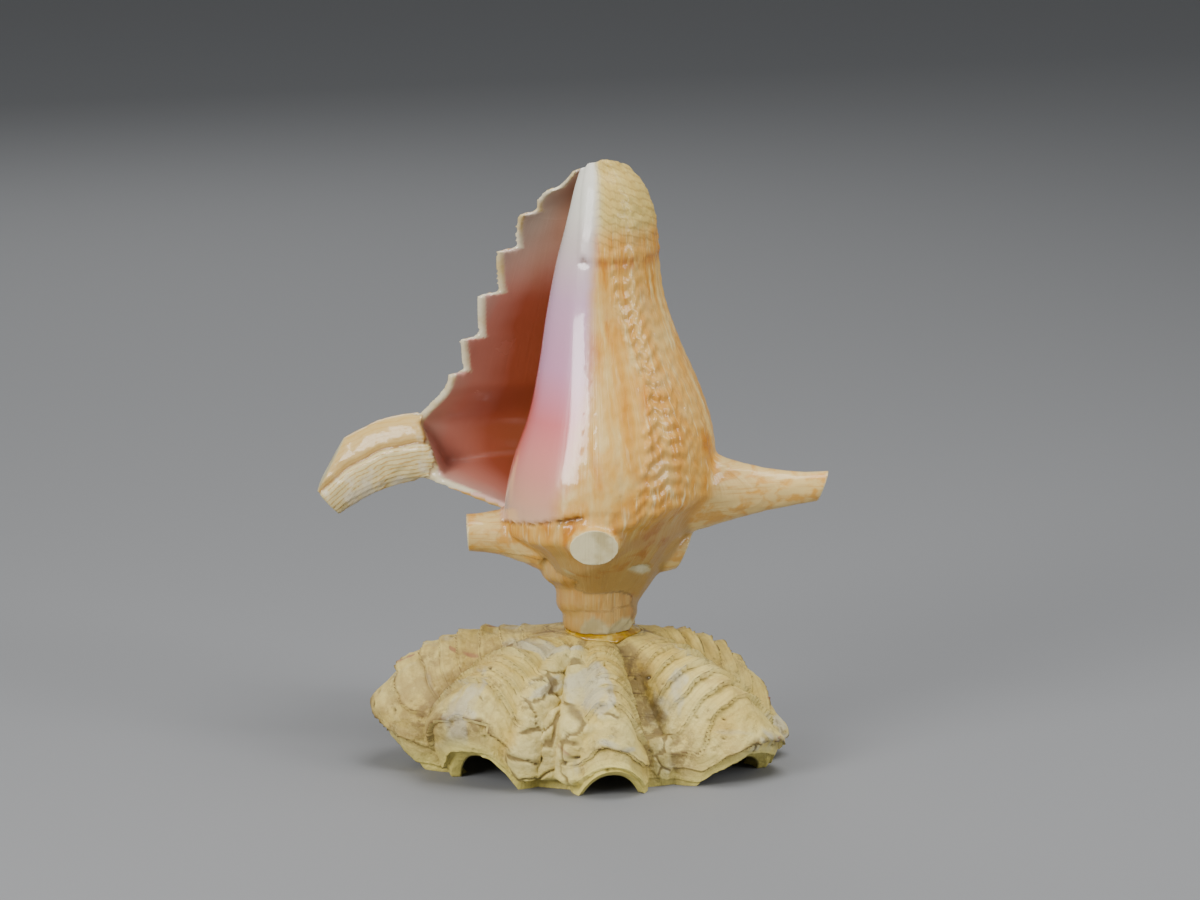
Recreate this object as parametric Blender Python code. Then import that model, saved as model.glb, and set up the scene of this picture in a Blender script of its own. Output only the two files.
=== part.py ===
"""A queen conch, cut and ground, glued by its spire onto a giant-clam valve as its stand.

Metres, +Z up. The clam valve stands on the XY plane, hollow side down. The conch stands on its
ground-off spire with its siphonal canal up and its aperture towards -Y.
A growth angle runs round the conch's axis, seen from above from +X through +Y, and it goes on
rising turn after turn from the spire to the lip.
"""
import math

import bmesh
import bpy
import numpy as np

MM = 0.001
GAP = 0.3  # millimetres between pieces that touch
BEAD_GAP = 0.45  # the same over the valve, whose facets stand a little proud of its curve

# ---------------------------------------------------------------- driving dimensions (mm, degrees)
AXIS_X = 13.35  # the conch's coil axis in the object's frame
AXIS_Y = -14.05
SPIRE_BASE = 70.4  # height of the conch's ground-off end above the ground
TIP = 232.5  # height of the siphonal end above the spire's end

LIP_ANGLE = 500.0
INNER_LIP_ANGLE = LIP_ANGLE - 360.0
POCKET_ANGLE = 315.0  # how far back into the body whorl the hollow goes
WALL = 3.6
WALL_AT_TIP = 2.2

# whorl shoulder: its radius and its height along the growth angle
SHOULDER_ANGLES = [-540, -360, -180, 0, 180, 270, 360, 450, 500]
SHOULDER_RADII = [17.7, 21.7, 24.6, 30.5, 41.4, 51.2, 61.6, 81.3, 105.9]
SHOULDER_HEIGHTS = [10.1, 17.2, 25.3, 35.4, 49.5, 56.0, 70.0, 69.0, 62.0]
RAMP_SLOPES = [1.2, 1.2, 1.1, 1.0, 0.6, 1.1, 1.5, 0.4, 0.15]
SHOULDER_ROUNDING = 2.4
LIP_SPOUT = 15.0  # how far the lip flares out into its spine
SPIRE_FOOT_RADIUS = 18.5
SPIRE_FOOT_OFFSET = 4.0  # the foot's centre lies this far along +X from the coil axis

# body profile from the shoulder (0) to the siphonal end (1), as a share of the shoulder radius
PROFILE_HEIGHTS = [0, 0.1, 0.2, 0.3, 0.45, 0.6, 0.75, 0.88, 0.95, 1.0]
PROFILE_INNER = [1.02, 1.0, 0.905, 0.762, 0.631, 0.536, 0.4, 0.22, 0.13, 0.08]
PROFILE_RIGHT = [1.0, 0.984, 0.944, 0.856, 0.684, 0.552, 0.504, 0.456, 0.368, 0.24]
PROFILE_LIP = [1.0, 0.985, 0.96, 0.905, 0.81, 0.685, 0.545, 0.345, 0.15, 0.075]

TOP_ANGLES = [-60, 180, 360, 450, 500]
TOP_HEIGHTS = [231.0, 231.5, 233.5, 231.5, 227.0]

# saw teeth cut into the lip: the height of each tip, and how far round the cut below it goes
TOOTH_TIPS = [227.0, 216.4, 202.2, 182.0, 157.7, 133.5, 115.0]
TOOTH_DEPTHS = [15.0, 13.0, 10.0, 8.5, 7.0, 5.0]

# spines: root and tip centre (growth angle, radius, height), then half heights and half widths
SPINES = {
    "lip": ((499, 113, 75), (508, 160, 53), (18.0, 16.0), (11.0, 9.0)),
    "right": ((360, 46, 71), (362, 115, 70.5), (23.0, 7.3), (17.0, 6.6)),
    "front": ((271, 36, 56), (271, 57, 53), (11.5, 8.0), (13.0, 10.5)),
    "left": ((180, 26, 49), (183, 62, 48.5), (15.0, 9.0), (18.0, 10.0)),
    "back": ((446, 79, 69), (447, 93, 67), (11.0, 8.5), (11.5, 8.0)),
    "low_right": ((4, 36, 38), (4, 46.5, 38.5), (9.5, 8.5), (10.0, 9.0)),
    "low_back": ((90, 24, 42), (92, 49, 41), (9.0, 7.0), (10.0, 7.5)),
}

# resolution
COLUMNS = 58
POCKET_COLUMNS = 20
SPINE_SIDES = 14
SPINE_RINGS = 7

# clam valve
CLAM_X = 14.75  # its highest point
CLAM_Y = -14.05
CLAM_TOP = 68.5
CLAM_LEFT = 106.0
CLAM_RIGHT = 98.0
CLAM_FRONT = 60.0
CLAM_BACK = 56.0
CLAM_WALL = 5.0
OUTLINE_POWER = 2.3
# the valve bulges out beyond the margin that it stands on
CLAM_FOOT_LEFT = 90.0
CLAM_FOOT_RIGHT = 92.0
CLAM_FOOT_FRONT = 63.0
CLAM_FOOT_BACK = 50.0
FOOT_POWER = 1.6
WIDEST_LEFT = 28.0  # height of the widest line
WIDEST_RIGHT = 13.0
WIDEST_SHARE = 0.86
RIB_SWELL = 4.0
VALLEY_DEPTH = 9.0
# ribs, by angle around the highest point seen from above
RIB_ANGLES = [176, -144, -82, -23, 16]
RIB_HALF_WIDTHS = [17, 20, 20, 21, 14]
ARCH_HALF_WIDTHS = [12, 16, 15.5, 17, 5]
ARCH_HEIGHTS = [9.0, 16.5, 13.0, 11.0, 0.0]
CLAM_FRONT_SECTORS = 74
CLAM_BACK_SECTORS = 20
CLAM_FRONT_START = -205.0  # the finely divided front runs from here
CLAM_FRONT_END = 35.0  # to here
CLAM_RINGS = 14

# resin between the two
BEAD_SIDES = 32
BEAD_RADIUS = 21.5
BEAD_RINGS = [0.0, 6.0, 12.0, 16.5]
BEAD_EDGE_HEIGHT = 1.0


# ---------------------------------------------------------------- helpers
def smooth_interp(x, xs, ys):
    """Cubic curve through the points (xs, ys), flat beyond its ends."""
    x = np.clip(np.asarray(x, float), xs[0], xs[-1])
    xs = np.asarray(xs, float)
    ys = np.asarray(ys, float)
    tangents = np.gradient(ys, xs)
    i = np.clip(np.searchsorted(xs, x) - 1, 0, len(xs) - 2)
    width = xs[i + 1] - xs[i]
    t = (x - xs[i]) / width
    return (
        (2 * t**3 - 3 * t**2 + 1) * ys[i]
        + (t**3 - 2 * t**2 + t) * width * tangents[i]
        + (3 * t**2 - 2 * t**3) * ys[i + 1]
        + (t**3 - t**2) * width * tangents[i + 1]
    )


def soft_min(a, b, width):
    return (a + b - np.sqrt((a - b) ** 2 + width**2)) / 2


def smoothstep(x):
    x = np.clip(x, 0, 1)
    return x * x * (3 - 2 * x)


def material(name, colour, roughness, metallic=0.0):
    made = bpy.data.materials.new(name)
    made.use_nodes = True
    shader = made.node_tree.nodes["Principled BSDF"]
    shader.inputs["Base Color"].default_value = (*colour, 1)
    shader.inputs["Roughness"].default_value = roughness
    shader.inputs["Metallic"].default_value = metallic
    return made


def add_object(name, bm, finish=None):
    mesh = bpy.data.meshes.new(name)
    bm.to_mesh(mesh)
    bm.free()
    made = bpy.data.objects.new(name, mesh)
    bpy.context.scene.collection.objects.link(made)
    if finish:
        mesh.materials.append(finish)
    return made


def add_grid(bm, columns, rows, place):
    """Add a grid of columns x rows cells and put its points where place(i, j) says (mm)."""
    grid = bmesh.ops.create_grid(bm, x_segments=columns, y_segments=rows, size=0.5)["verts"]
    i = np.array([round((v.co.x + 0.5) * columns) for v in grid])
    j = np.array([round((v.co.y + 0.5) * rows) for v in grid])
    for vert, point in zip(grid, place(i, j)):
        vert.co = point * MM
    return grid


def polar(angle, radius, height):
    turn = np.radians(angle)
    return np.stack([radius * np.cos(turn), radius * np.sin(turn), height], axis=-1)


# ---------------------------------------------------------------- conch: its form
def shoulder(angle):
    radius = smooth_interp(angle, SHOULDER_ANGLES, SHOULDER_RADII)
    height = smooth_interp(angle, SHOULDER_ANGLES, SHOULDER_HEIGHTS)
    slope = np.interp(angle, SHOULDER_ANGLES, RAMP_SLOPES)
    return radius, height, slope


def profile(angle, share):
    """Radius as a share of the shoulder's, blended between three whole profiles."""
    t = np.clip((np.asarray(angle, float) - 180) / 180, 0, (LIP_ANGLE - 180) / 180)
    end = (LIP_ANGLE - 180) / 180
    inner = (t - 1) * (t - end) / end
    right = t * (t - end) / (1 - end)
    lip = t * (t - 1) / (end * (end - 1))
    return (
        inner * smooth_interp(share, PROFILE_HEIGHTS, PROFILE_INNER)
        + right * smooth_interp(share, PROFILE_HEIGHTS, PROFILE_RIGHT)
        + lip * smooth_interp(share, PROFILE_HEIGHTS, PROFILE_LIP)
    )


def whorl_radius(angle, height):
    """Outer radius of the one whorl that lies at this growth angle."""
    radius, shoulder_height, slope = shoulder(angle)
    spout = LIP_SPOUT * smoothstep((angle - LIP_ANGLE + 42) / 42)
    body = radius * profile(angle, (height - shoulder_height) / (TIP - shoulder_height))
    body = body + spout * (1 - smoothstep((height - 84) / 26))
    ramp = radius + spout - (shoulder_height - height) / slope
    return soft_min(body, ramp, SHOULDER_ROUNDING)


def outer_radius(angle, height):
    """Outer radius of the whole shell as seen at this growth angle: the widest whorl there."""
    foot = SPIRE_FOOT_RADIUS + SPIRE_FOOT_OFFSET * np.cos(np.radians(angle))
    found = foot * (1 - smoothstep((height - 15) / 40))
    for turns in range(4):
        found = np.maximum(found, whorl_radius(np.asarray(angle) - 360 * turns, height))
    return found


def inner_radius(angle, height):
    """Radius of the inside of the body whorl's wall, a parallel curve of its outside."""
    wall = WALL + (WALL_AT_TIP - WALL) * smoothstep((height - 150) / 60)
    found = np.full(np.broadcast(angle, height).shape, 1000.0)
    for lean in np.linspace(-1, 1, 9):
        outside = whorl_radius(angle, height - wall * lean)
        found = np.minimum(found, outside - wall * math.sqrt(1 - lean**2))
    return found


def top_height(angle):
    return smooth_interp(angle, TOP_ANGLES, TOP_HEIGHTS)


def tooth_cut(height):
    """How many degrees the saw took off the lip at this height."""
    cut = np.zeros_like(height, dtype=float)
    for tip, below, depth in zip(TOOTH_TIPS, TOOTH_TIPS[1:], TOOTH_DEPTHS):
        inside = (height <= tip) & (height > below)
        cut = np.where(inside, depth * (tip - height) / (tip - below), cut)
    return cut


def crossing(difference, low, high):
    """Height where difference(height) turns positive, by halving."""
    low = np.array(low, float)
    high = np.array(high, float)
    for _ in range(50):
        middle = (low + high) / 2
        positive = difference(middle) > 0
        high = np.where(positive, middle, high)
        low = np.where(positive, low, middle)
    return high


def suture_height():
    return float(
        crossing(
            lambda z: whorl_radius(LIP_ANGLE, z) - outer_radius(INNER_LIP_ANGLE, z), 40, 70
        )
    )


def hollow_floor(angle):
    """Height where the body whorl's inside meets the whorl before it."""
    angle = np.asarray(angle, float)
    return crossing(
        lambda z: inner_radius(angle, z) - outer_radius(angle - 360, z),
        np.full(angle.shape, 22.0),
        np.full(angle.shape, 110.0),
    )


def lip_rows():
    """Heights of the grid's rows below the hollow, and shares of the way up beside it."""
    suture = suture_height()
    floor = float(hollow_floor(np.array([LIP_ANGLE]))[0])
    low = [0, 6, 11, 15, 19, 23, 27, 31, 35, 39, 43, 47, suture - 2.5, suture, floor]
    top = float(top_height(LIP_ANGLE))
    high = [floor + 2.5, floor + 5, floor + 8, floor + 12, floor + 17, floor + 24, floor + 33]
    high += [99, 107, 115]
    for tip, below in zip(TOOTH_TIPS[-2::-1], TOOTH_TIPS[:0:-1]):
        high += [below + 0.6, (tip + below) / 2, tip]
    high[-1] = top
    shares = [0] + [(z - floor) / (top - floor) for z in high]
    return np.array(low), np.array(shares)


# ---------------------------------------------------------------- conch: its mesh
def conch_body():
    low, shares = lip_rows()
    floor = low[-1]
    suture_row = len(low) - 2
    floor_row = len(low) - 1
    last_row = floor_row + len(shares) - 1

    def outside(i, j):
        angle = INNER_LIP_ANGLE + 360 * i / COLUMNS
        share = shares[np.clip(j - floor_row, 0, None)]
        height = np.where(j <= floor_row, low[np.clip(j, 0, floor_row)], floor)
        height = height + share * (top_height(angle) - floor)
        near_lip = smoothstep((angle - (LIP_ANGLE - 50)) / 50)
        angle = angle - near_lip * tooth_cut(height)
        return polar(angle, outer_radius(angle, height), height)

    def inside(i, j):
        outward = i <= POCKET_COLUMNS
        step = np.where(outward, i, 2 * POCKET_COLUMNS + 1 - i) / POCKET_COLUMNS
        angle = LIP_ANGLE + (POCKET_ANGLE - LIP_ANGLE) * step
        bottom = hollow_floor(angle)
        own_angle = np.where(outward, angle, angle - 360)
        height = bottom + shares[j] * (top_height(own_angle) - bottom)
        notch = np.where(outward, (1 - smoothstep(step * 2)) * tooth_cut(height), 0)
        wall = inner_radius(angle - notch, height)
        column = outer_radius(angle - 360, height)
        radius = np.where(outward & (j > 0), wall, column)
        return polar(own_angle - notch, radius, height)

    bm = bmesh.new()
    add_grid(bm, COLUMNS, last_row, outside)
    add_grid(bm, 2 * POCKET_COLUMNS + 1, len(shares) - 1, inside)
    bmesh.ops.remove_doubles(bm, verts=bm.verts, dist=1e-7)
    bm.verts.ensure_lookup_table()
    close_lip(bm, low, shares, outside, inside, suture_row, floor_row, last_row)
    bmesh.ops.remove_doubles(bm, verts=bm.verts, dist=1e-7)
    bmesh.ops.holes_fill(bm, edges=[e for e in bm.edges if e.is_boundary], sides=0)
    bmesh.ops.triangulate(bm, faces=bm.faces)
    bmesh.ops.recalc_face_normals(bm, faces=bm.faces)
    return bm


def close_lip(bm, low, shares, outside, inside, suture_row, floor_row, last_row):
    """Join the outside to the inside along the cut edge of the lip and across its top."""
    rows = np.arange(suture_row, last_row + 1)
    outer = outside(np.full(rows.shape, COLUMNS), rows)
    inner = inside(np.zeros(len(shares), int), np.arange(len(shares)))
    inner = np.concatenate([outside(np.array([0]), np.array([suture_row])), inner])
    strip(bm, outer, inner)
    steps = np.arange(0, POCKET_COLUMNS + 1)
    top_inner = inside(steps, np.full(steps.shape, len(shares) - 1))
    angles = LIP_ANGLE - INNER_LIP_ANGLE - (LIP_ANGLE - POCKET_ANGLE) * steps / POCKET_COLUMNS
    columns = angles * COLUMNS / 360
    whole = np.arange(math.ceil(columns[-1]), COLUMNS + 1)[::-1]
    top_outer = outside(whole, np.full(whole.shape, last_row))
    zip_strip(bm, top_outer, top_inner)


def strip(bm, first, second):
    """Faces between two rows of points that match one to one."""
    for a, b, c, d in zip(first[:-1], first[1:], second[1:], second[:-1]):
        corners = []
        for point in (a, b, c, d):
            if not corners or np.linalg.norm(point - corners[-1]) > 1e-4:
                corners.append(point)
        if np.linalg.norm(corners[0] - corners[-1]) < 1e-4:
            corners.pop()
        if len(corners) > 2:
            bm.faces.new([bm.verts.new(point * MM) for point in corners])


def zip_strip(bm, first, second):
    """Triangles between two rows of points of unequal count, closest pairs first."""
    i = j = 0
    while i < len(first) - 1 or j < len(second) - 1:
        step_first = j == len(second) - 1 or (
            i < len(first) - 1
            and np.linalg.norm(first[i + 1] - second[j]) < np.linalg.norm(first[i] - second[j + 1])
        )
        new = first[i + 1] if step_first else second[j + 1]
        corners = (first[i], second[j], new)
        bm.faces.new([bm.verts.new(point * MM) for point in corners])
        i, j = (i + 1, j) if step_first else (i, j + 1)


def spine(root, tip, half_heights, half_widths):
    """A tapered spine from inside the shell to its cut end."""
    start = polar(*map(float, root))
    end = polar(*map(float, tip))
    along = (end - start) / np.linalg.norm(end - start)
    side = np.cross([0, 0, 1.0], along)
    side /= np.linalg.norm(side)
    up = np.cross(along, side)

    def place(i, j):
        turn = 2 * np.pi * i / SPINE_SIDES
        share = (j / SPINE_RINGS)[:, None]
        taper = smoothstep(share * 0.9)
        tall = half_heights[0] + (half_heights[1] - half_heights[0]) * taper
        wide = half_widths[0] + (half_widths[1] - half_widths[0]) * taper
        centre = start + (end - start) * share
        round_part = np.cos(turn)[:, None] * wide * side + np.sin(turn)[:, None] * tall * up
        return centre + round_part

    bm = bmesh.new()
    add_grid(bm, SPINE_SIDES, SPINE_RINGS, place)
    bmesh.ops.remove_doubles(bm, verts=bm.verts, dist=1e-7)
    bmesh.ops.holes_fill(bm, edges=[e for e in bm.edges if e.is_boundary], sides=0)
    bmesh.ops.recalc_face_normals(bm, faces=bm.faces)
    return bm


def union(target, tools):
    """Join each tool to the target with an exact Boolean, then drop the tools."""
    for tool in tools:
        joint = target.modifiers.new(tool.name, "BOOLEAN")
        joint.operation = "UNION"
        joint.solver = "EXACT"
        joint.object = tool
        bpy.context.view_layer.update()
        graph = bpy.context.evaluated_depsgraph_get()
        joined = bpy.data.meshes.new_from_object(target.evaluated_get(graph))
        target.modifiers.clear()
        target.data = joined
        bpy.data.objects.remove(tool)


def make_conch(finish):
    shell = add_object("conch_shell", conch_body(), finish)
    tools = [add_object(f"spine_{name}", spine(*sizes)) for name, sizes in SPINES.items()]
    union(shell, tools)
    bm = bmesh.new()
    bm.from_mesh(shell.data)
    bmesh.ops.translate(bm, verts=bm.verts, vec=np.array([AXIS_X, AXIS_Y, SPIRE_BASE]) * MM)
    bmesh.ops.remove_doubles(bm, verts=bm.verts, dist=2e-5)
    bmesh.ops.triangulate(bm, faces=bm.faces)
    bm.to_mesh(shell.data)
    bm.free()
    return shell


# ---------------------------------------------------------------- clam valve
def outline(turn, left, right, front, back, power):
    """Distance in plan from the highest point to a rounded outline with these half widths."""
    across = np.where(np.cos(turn) > 0, right, left)
    deep = np.where(np.sin(turn) > 0, back, front)
    sideways = (np.abs(np.cos(turn)) / across) ** power
    lengthways = (np.abs(np.sin(turn)) / deep) ** power
    return (sideways + lengthways) ** (-1 / power)


def ribs(turn):
    """0 in the valleys to 1 on a rib's crest, and the height of the arch under it."""
    crest = np.zeros_like(turn)
    arch = np.zeros_like(turn)
    for angle, half, arch_half, arch_height in zip(
        RIB_ANGLES, RIB_HALF_WIDTHS, ARCH_HALF_WIDTHS, ARCH_HEIGHTS
    ):
        away = np.abs((np.degrees(turn) - angle + 180) % 360 - 180)
        crest = np.maximum(crest, np.cos(np.clip(away / half, 0, 1) * np.pi / 2) ** 2)
        arch = np.maximum(arch, arch_height * (1 - np.clip(away / arch_half, 0, 1) ** 2.2))
    return crest, arch


def clam_point(turn, share, depth):
    """A point of the valve's skin, this deep under its outside, ribs and arches included."""
    crest, arch = ribs(turn)
    arch = np.clip(arch - 0.6 * depth, 0, None)
    right = (1 + np.cos(turn)) / 2
    over = np.clip(share / WIDEST_SHARE, 0, 1)
    under = np.clip((share - WIDEST_SHARE) / (1 - WIDEST_SHARE), 0, 1)
    full = outline(turn, CLAM_LEFT, CLAM_RIGHT, CLAM_FRONT, CLAM_BACK, OUTLINE_POWER) - depth
    foot = outline(
        turn, CLAM_FOOT_LEFT, CLAM_FOOT_RIGHT, CLAM_FOOT_FRONT, CLAM_FOOT_BACK, FOOT_POWER
    )
    swell = (RIB_SWELL * crest - VALLEY_DEPTH * (1 - crest)) * smoothstep((share - 0.2) / 0.5)
    out = full * over + (foot - depth - full) * under**1.5 + swell
    round_power = 2.3 - 0.5 * right + 1.6 * np.clip(np.sin(turn), 0, 1)
    drop_power = 0.66 + 0.09 * right
    widest = WIDEST_LEFT + (WIDEST_RIGHT - WIDEST_LEFT) * right
    dome = widest + (CLAM_TOP - depth - widest) * (1 - over**round_power) ** drop_power
    dome = dome * (1 - under) + swell * (1 - smoothstep((share - 0.7) / 0.16))
    lifted = arch * share**3.5
    height = lifted + dome * (1 - lifted / CLAM_TOP)
    return np.stack([out * np.cos(turn), out * np.sin(turn), height], axis=-1)


def clam_turns():
    front = np.linspace(CLAM_FRONT_START, CLAM_FRONT_END, CLAM_FRONT_SECTORS + 1)
    back = np.linspace(CLAM_FRONT_END, CLAM_FRONT_START + 360, CLAM_BACK_SECTORS + 1)
    return np.radians(np.concatenate([front, back[1:-1], front[:1]]))


def make_clam(finish):
    turns = clam_turns()
    shares = 1 - (1 - np.linspace(0, 1, CLAM_RINGS + 1)) ** 1.7
    shares[0] = 0.04

    def skin(depth):
        return lambda i, j: clam_point(turns[i], shares[j], depth)

    bm = bmesh.new()
    add_grid(bm, len(turns) - 1, CLAM_RINGS, skin(0.0))
    add_grid(bm, len(turns) - 1, CLAM_RINGS, skin(CLAM_WALL))
    margin = np.ones_like(turns)
    strip(bm, clam_point(turns, margin, 0.0), clam_point(turns, margin, CLAM_WALL))
    bmesh.ops.remove_doubles(bm, verts=bm.verts, dist=1e-7)
    bmesh.ops.holes_fill(bm, edges=[e for e in bm.edges if e.is_boundary], sides=0)
    bmesh.ops.recalc_face_normals(bm, faces=bm.faces)
    bmesh.ops.triangulate(bm, faces=bm.faces)
    bmesh.ops.translate(bm, verts=bm.verts, vec=np.array([CLAM_X, CLAM_Y, 0]) * MM)
    return add_object("clam_shell", bm, finish)


def clam_height(x, y):
    """Height of the valve's outside above a place in plan."""
    turn = np.arctan2(y - CLAM_Y, x - CLAM_X)
    distance = np.hypot(x - CLAM_X, y - CLAM_Y)

    def beyond(share):
        point = clam_point(turn, share, 0.0)
        return np.hypot(point[..., 0], point[..., 1]) - distance

    share = crossing(beyond, np.zeros_like(distance), np.full_like(distance, 0.8))
    return clam_point(turn, share, 0.0)[..., 2]


# ---------------------------------------------------------------- resin
def make_bead(finish):
    rings = np.array(BEAD_RINGS + [BEAD_RADIUS])
    last = len(rings) - 1

    def place(i, j):
        turn = 2 * np.pi * (i % BEAD_SIDES) / BEAD_SIDES
        top = j > last
        radius = np.where(top, rings[np.clip(2 * last + 1 - j, 0, last)], rings[np.clip(j, 0, last)])
        x = AXIS_X + SPIRE_FOOT_OFFSET + radius * np.cos(turn)
        y = AXIS_Y + radius * np.sin(turn)
        under = clam_height(x, y) + BEAD_GAP
        edge = radius > BEAD_RINGS[-1]
        over = np.where(edge, under + BEAD_EDGE_HEIGHT, SPIRE_BASE - GAP)
        return np.stack([x, y, np.where(top, over, under)], axis=-1)

    bm = bmesh.new()
    add_grid(bm, BEAD_SIDES, 2 * last + 1, place)
    bmesh.ops.remove_doubles(bm, verts=bm.verts, dist=1e-7)
    bmesh.ops.recalc_face_normals(bm, faces=bm.faces)
    bmesh.ops.triangulate(bm, faces=bm.faces)
    return add_object("glue_bead", bm, finish)


# ---------------------------------------------------------------- build
def main():
    for old in list(bpy.data.objects):
        bpy.data.objects.remove(old)
    make_conch(material("lacquered_shell", (0.68, 0.44, 0.23), 0.3))
    make_clam(material("chalky_clam_shell", (0.66, 0.6, 0.37), 0.6))
    make_bead(material("amber_resin", (0.45, 0.27, 0.06), 0.15))


main()
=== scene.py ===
"""A queen conch glued by its spire onto a clam valve: finished surfaces, materials and studio.

The conch's surfaces follow its growth angle, in degrees round the coil axis from +X through +Y,
rising turn after turn from the spire to the lip. Its form is worked out in millimetres from the
foot of the coil axis, the valve's from the ground under its highest point.
"""

import math

import bmesh
import bpy
import numpy as np
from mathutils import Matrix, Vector, noise


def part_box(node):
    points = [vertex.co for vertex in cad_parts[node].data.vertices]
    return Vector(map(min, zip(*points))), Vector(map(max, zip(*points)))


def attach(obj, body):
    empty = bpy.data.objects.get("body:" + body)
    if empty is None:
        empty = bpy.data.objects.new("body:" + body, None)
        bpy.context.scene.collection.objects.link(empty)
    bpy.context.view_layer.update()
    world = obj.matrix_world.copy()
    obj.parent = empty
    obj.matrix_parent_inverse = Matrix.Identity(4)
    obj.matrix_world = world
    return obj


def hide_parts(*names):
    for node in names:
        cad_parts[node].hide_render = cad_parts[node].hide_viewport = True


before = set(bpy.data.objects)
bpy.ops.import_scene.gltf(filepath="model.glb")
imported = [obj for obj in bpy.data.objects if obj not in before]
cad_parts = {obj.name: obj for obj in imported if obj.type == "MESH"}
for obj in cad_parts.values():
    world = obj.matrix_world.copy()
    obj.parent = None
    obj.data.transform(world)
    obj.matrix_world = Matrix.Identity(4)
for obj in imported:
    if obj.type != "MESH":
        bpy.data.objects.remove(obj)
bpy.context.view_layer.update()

MM = 0.001

# ---------------------------------------------------------------- places, from the frame
SPIRE_FOOT_OFFSET = 4.0  # the spire's foot is this far along +X from the coil axis
CLAM_OFFSET = 1.4  # and the valve's highest point this far
bead_low, bead_high = (np.array(corner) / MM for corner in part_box("glue_bead"))
conch_low = np.array(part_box("conch_shell")[0]) / MM
AXIS = np.array([
    (bead_low[0] + bead_high[0]) / 2 - SPIRE_FOOT_OFFSET,
    (bead_low[1] + bead_high[1]) / 2,
    conch_low[2],
])
CLAM_CENTRE = np.array([AXIS[0] + CLAM_OFFSET, AXIS[1], 0.0])

# ---------------------------------------------------------------- conch sizes (mm, degrees)
TIP = 232.5  # height of the siphonal end above the spire's foot
LIP_ANGLE = 500.0
INNER_LIP_ANGLE = LIP_ANGLE - 360.0
POCKET_ANGLE = 385.0  # how far back into the body whorl the hollow goes
WALL = 3.6
WALL_AT_TIP = 2.2

# whorl shoulder: its radius, height and the slope under it, along the growth angle
SHOULDER_ANGLES = [-540, -360, -180, 0, 180, 270, 300, 360, 450, 500]
SHOULDER_RADII = [17.7, 21.7, 24.6, 30.5, 41.4, 51.2, 54.4, 61.6, 81.3, 105.9]
SHOULDER_HEIGHTS = [10.1, 17.2, 25.3, 35.4, 49.5, 56.0, 65.5, 70.0, 67.0, 59.5]
RAMP_SLOPES = [1.2, 1.2, 1.1, 1.0, 0.6, 1.1, 1.3, 1.5, 0.4, 0.15]
SHOULDER_ROUNDING = 1.6
LIP_SPOUT = 15.0  # how far the lip flares out into its spine
SPOUT_TURN = 70.0  # over how many degrees it does so
RAMP_HOLLOW = 3.0  # how far the whorl draws in under its shoulder
SPIRE_FOOT_RADIUS = 18.5

# body profile from the shoulder (0) to the siphonal end (1), as a share of the shoulder radius
PROFILE_HEIGHTS = [0, 0.1, 0.2, 0.3, 0.45, 0.6, 0.75, 0.88, 0.95, 1.0]
PROFILE_INNER = [1.02, 1.0, 0.905, 0.762, 0.631, 0.536, 0.4, 0.22, 0.13, 0.08]
PROFILE_RIGHT = [1.0, 0.984, 0.944, 0.856, 0.684, 0.552, 0.504, 0.456, 0.368, 0.24]
PROFILE_LIP = [1.0, 0.985, 0.96, 0.905, 0.81, 0.685, 0.545, 0.345, 0.15, 0.075]

TOP_ANGLES = [140, 200, 262, 285, 320, 360, 420, 500]
TOP_HEIGHTS = [229.0, 231.0, 234.0, 235.5, 236.0, 232.0, 229.5, 227.0]
# saw teeth cut into the lip: the height of each tip, and how far round the cut below it goes
TOOTH_TIPS = [227.0, 216.4, 202.2, 182.0, 157.7, 133.5, 115.0]
TOOTH_DEPTHS = [15.0, 13.0, 10.0, 8.5, 7.0, 5.0]

GRID_STEP = 1.7
VOXEL = 1.36  # keeps the fused shell under 200,000 triangles
COLUMNS = 300
POCKET_COLUMNS = 70

# spines: root and tip (growth angle, radius, height), droop, half heights and half widths at the
# root, after its flare and at the tip, and how square the section is
SPINES = {
    "lip": ((497, 110, 75), (508, 163, 48), 6.0, (18.0, 18.0, 15.0), (9.0, 10.0, 9.0)),
    "right": ((360, 44, 71), (362, 118, 71), -2.0, (25.0, 10.0, 7.2), (20.0, 8.6, 6.0)),
    "front": ((271, 36, 56), (271, 60, 53), 0.0, (13.5, 10.5, 8.0), (17.0, 13.5, 11.5)),
    "left": ((180, 26, 48), (183, 65, 48.5), 0.0, (19.0, 9.6, 9.0), (20.0, 13.0, 10.0)),
    "back": ((446, 77, 70), (447, 95, 67), 0.0, (14.0, 10.5, 8.5), (15.0, 11.0, 8.0)),
    "low_right": ((4, 34, 38), (4, 50, 38.5), 0.0, (11.0, 9.5, 8.5), (12.0, 10.0, 9.0)),
    "low_back": ((90, 24, 42), (92, 52, 41), 0.0, (10.0, 8.5, 7.0), (13.0, 9.5, 7.5)),
}
SPINE_SIDES = 48
SPINE_RINGS = 44

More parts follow.
